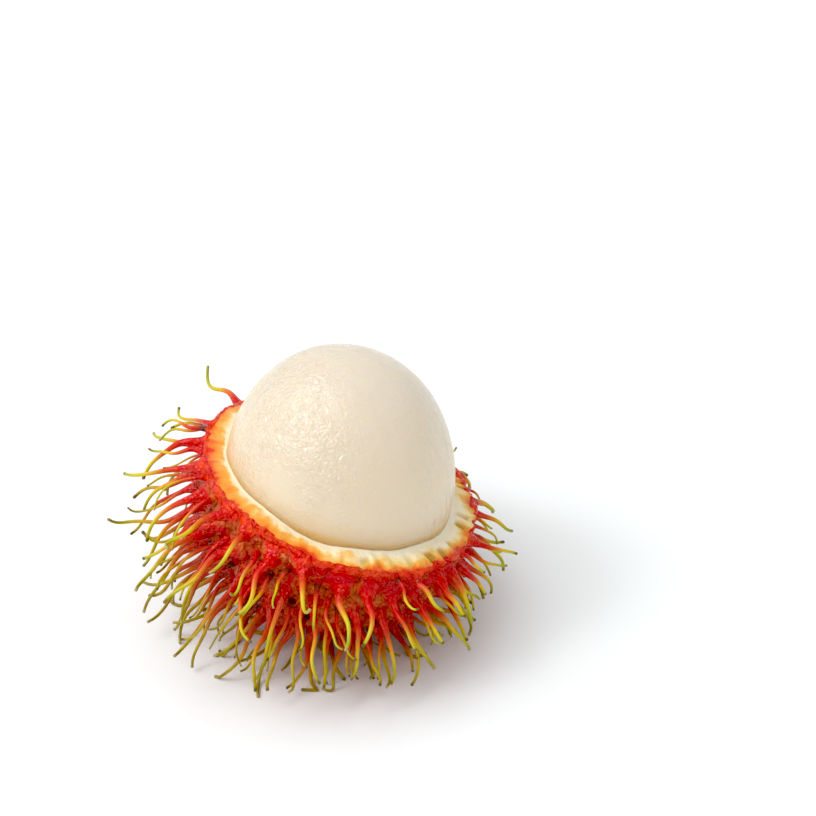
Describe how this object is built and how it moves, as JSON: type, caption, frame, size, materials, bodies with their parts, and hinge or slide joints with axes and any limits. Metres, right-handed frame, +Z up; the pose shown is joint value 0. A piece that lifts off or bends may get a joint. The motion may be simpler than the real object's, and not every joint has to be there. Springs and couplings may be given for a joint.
{
  "type": "opened rambutan",
  "caption": "Rambutan with the upper half of its peel torn off: a spiny half rind that holds the whole pale flesh and stands on its bent spines.",
  "frame": {"origin": "centre of the flat end of the stalk scar, on the surface that the fruit stands on, under the middle of the flesh", "axes": "+Z up, along the length of the flesh; +X towards the low side of the torn rim"},
  "size_m": [0.0519, 0.0535, 0.0406],
  "materials": {
    "rind": "moist crimson skin, spines fading to yellow-green, torn edge orange to cream",
    "flesh": "moist translucent cream"
  },
  "bodies": {
    "root": {"rind": "rind", "flesh": "flesh"}
  },
  "joints": []
}
